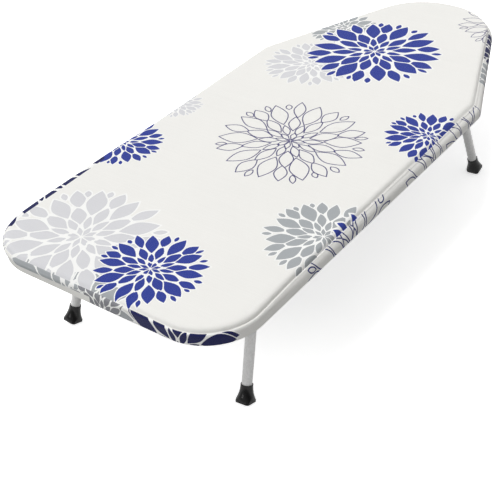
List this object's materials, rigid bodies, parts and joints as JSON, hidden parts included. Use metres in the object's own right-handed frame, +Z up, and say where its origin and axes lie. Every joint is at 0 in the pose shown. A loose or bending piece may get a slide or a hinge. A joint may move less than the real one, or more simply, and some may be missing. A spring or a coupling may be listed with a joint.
{
  "type": "ironing board",
  "caption": "Tabletop ironing board with a padded cloth face that folds in half at hinges, with folding U-shaped legs, black feet, an expanded metal deck and a hanging hook.",
  "frame": {"origin": "centre of the footprint, on the table that the feet stand on", "axes": "+X from the tail end to the nose along the board, +Y to the left seen from the tail, +Z up"},
  "size_m": [0.8, 0.33, 0.155],
  "materials": {
    "white_steel": "gloss",
    "cover_cloth": "matte woven cotton with a printed flower pattern",
    "pad_felt": "matte felt",
    "black_plastic": "gloss",
    "lock_plastic": "satin",
    "cord": "braided",
    "hook_wire": "bright",
    "rivet_steel": "bright zinc"
  },
  "bodies": {
    "tail_half": {"tail_rim": "white_steel", "tail_deck": "white_steel", "tail_rail_left": "white_steel", "tail_rail_right": "white_steel", "tail_leg_bracket": "white_steel", "tail_bracket_rivets": "rivet_steel", "tail_hinge_leaf_left": "white_steel", "tail_hinge_leaf_right": "white_steel", "tail_pad": "pad_felt", "tail_cover": "cover_cloth", "hinge_pins": "rivet_steel", "hinge_leaf_rivets_tail": "rivet_steel", "hook_clips": "white_steel", "hook_clip_rivets": "rivet_steel", "drawcord": "cord", "cord_lock": "lock_plastic"},
    "nose_half": {"nose_rim": "white_steel", "nose_deck": "white_steel", "nose_rail_left": "white_steel", "nose_rail_right": "white_steel", "nose_leg_bracket": "white_steel", "nose_bracket_rivets": "rivet_steel", "nose_hinge_leaf_left": "white_steel", "nose_hinge_leaf_right": "white_steel", "nose_pad": "pad_felt", "nose_cover": "cover_cloth", "hinge_leaf_rivets_nose": "rivet_steel"},
    "tail_leg": {"tail_leg_tube": "white_steel", "tail_stop_pin": "rivet_steel", "tail_foot_left": "black_plastic", "tail_foot_right": "black_plastic"},
    "nose_leg": {"nose_leg_tube": "white_steel", "nose_stop_pin": "rivet_steel", "nose_foot_left": "black_plastic", "nose_foot_right": "black_plastic"},
    "hook": {"hook_wire": "hook_wire", "hook_cap": "black_plastic"}
  },
  "joints": [
    {"name": "fold", "type": "hinge", "parent": "tail_half", "child": "nose_half", "pos_m": [0, 0, 0.1528], "axis": [0, -1, 0], "range_deg": [0, 176]},
    {"name": "tail_leg", "type": "hinge", "parent": "tail_half", "child": "tail_leg", "pos_m": [-0.279, 0, 0.1307], "axis": [0, -1, 0], "range_deg": [0, 108.5]},
    {"name": "nose_leg", "type": "hinge", "parent": "nose_half", "child": "nose_leg", "pos_m": [0.185, 0, 0.1307], "axis": [0, 1, 0], "range_deg": [0, 108.5]},
    {"name": "hook", "type": "hinge", "parent": "tail_half", "child": "hook", "pos_m": [-0.388, 0, 0.13295], "axis": [0, 1, 0], "range_deg": [0, 180]}
  ]
}
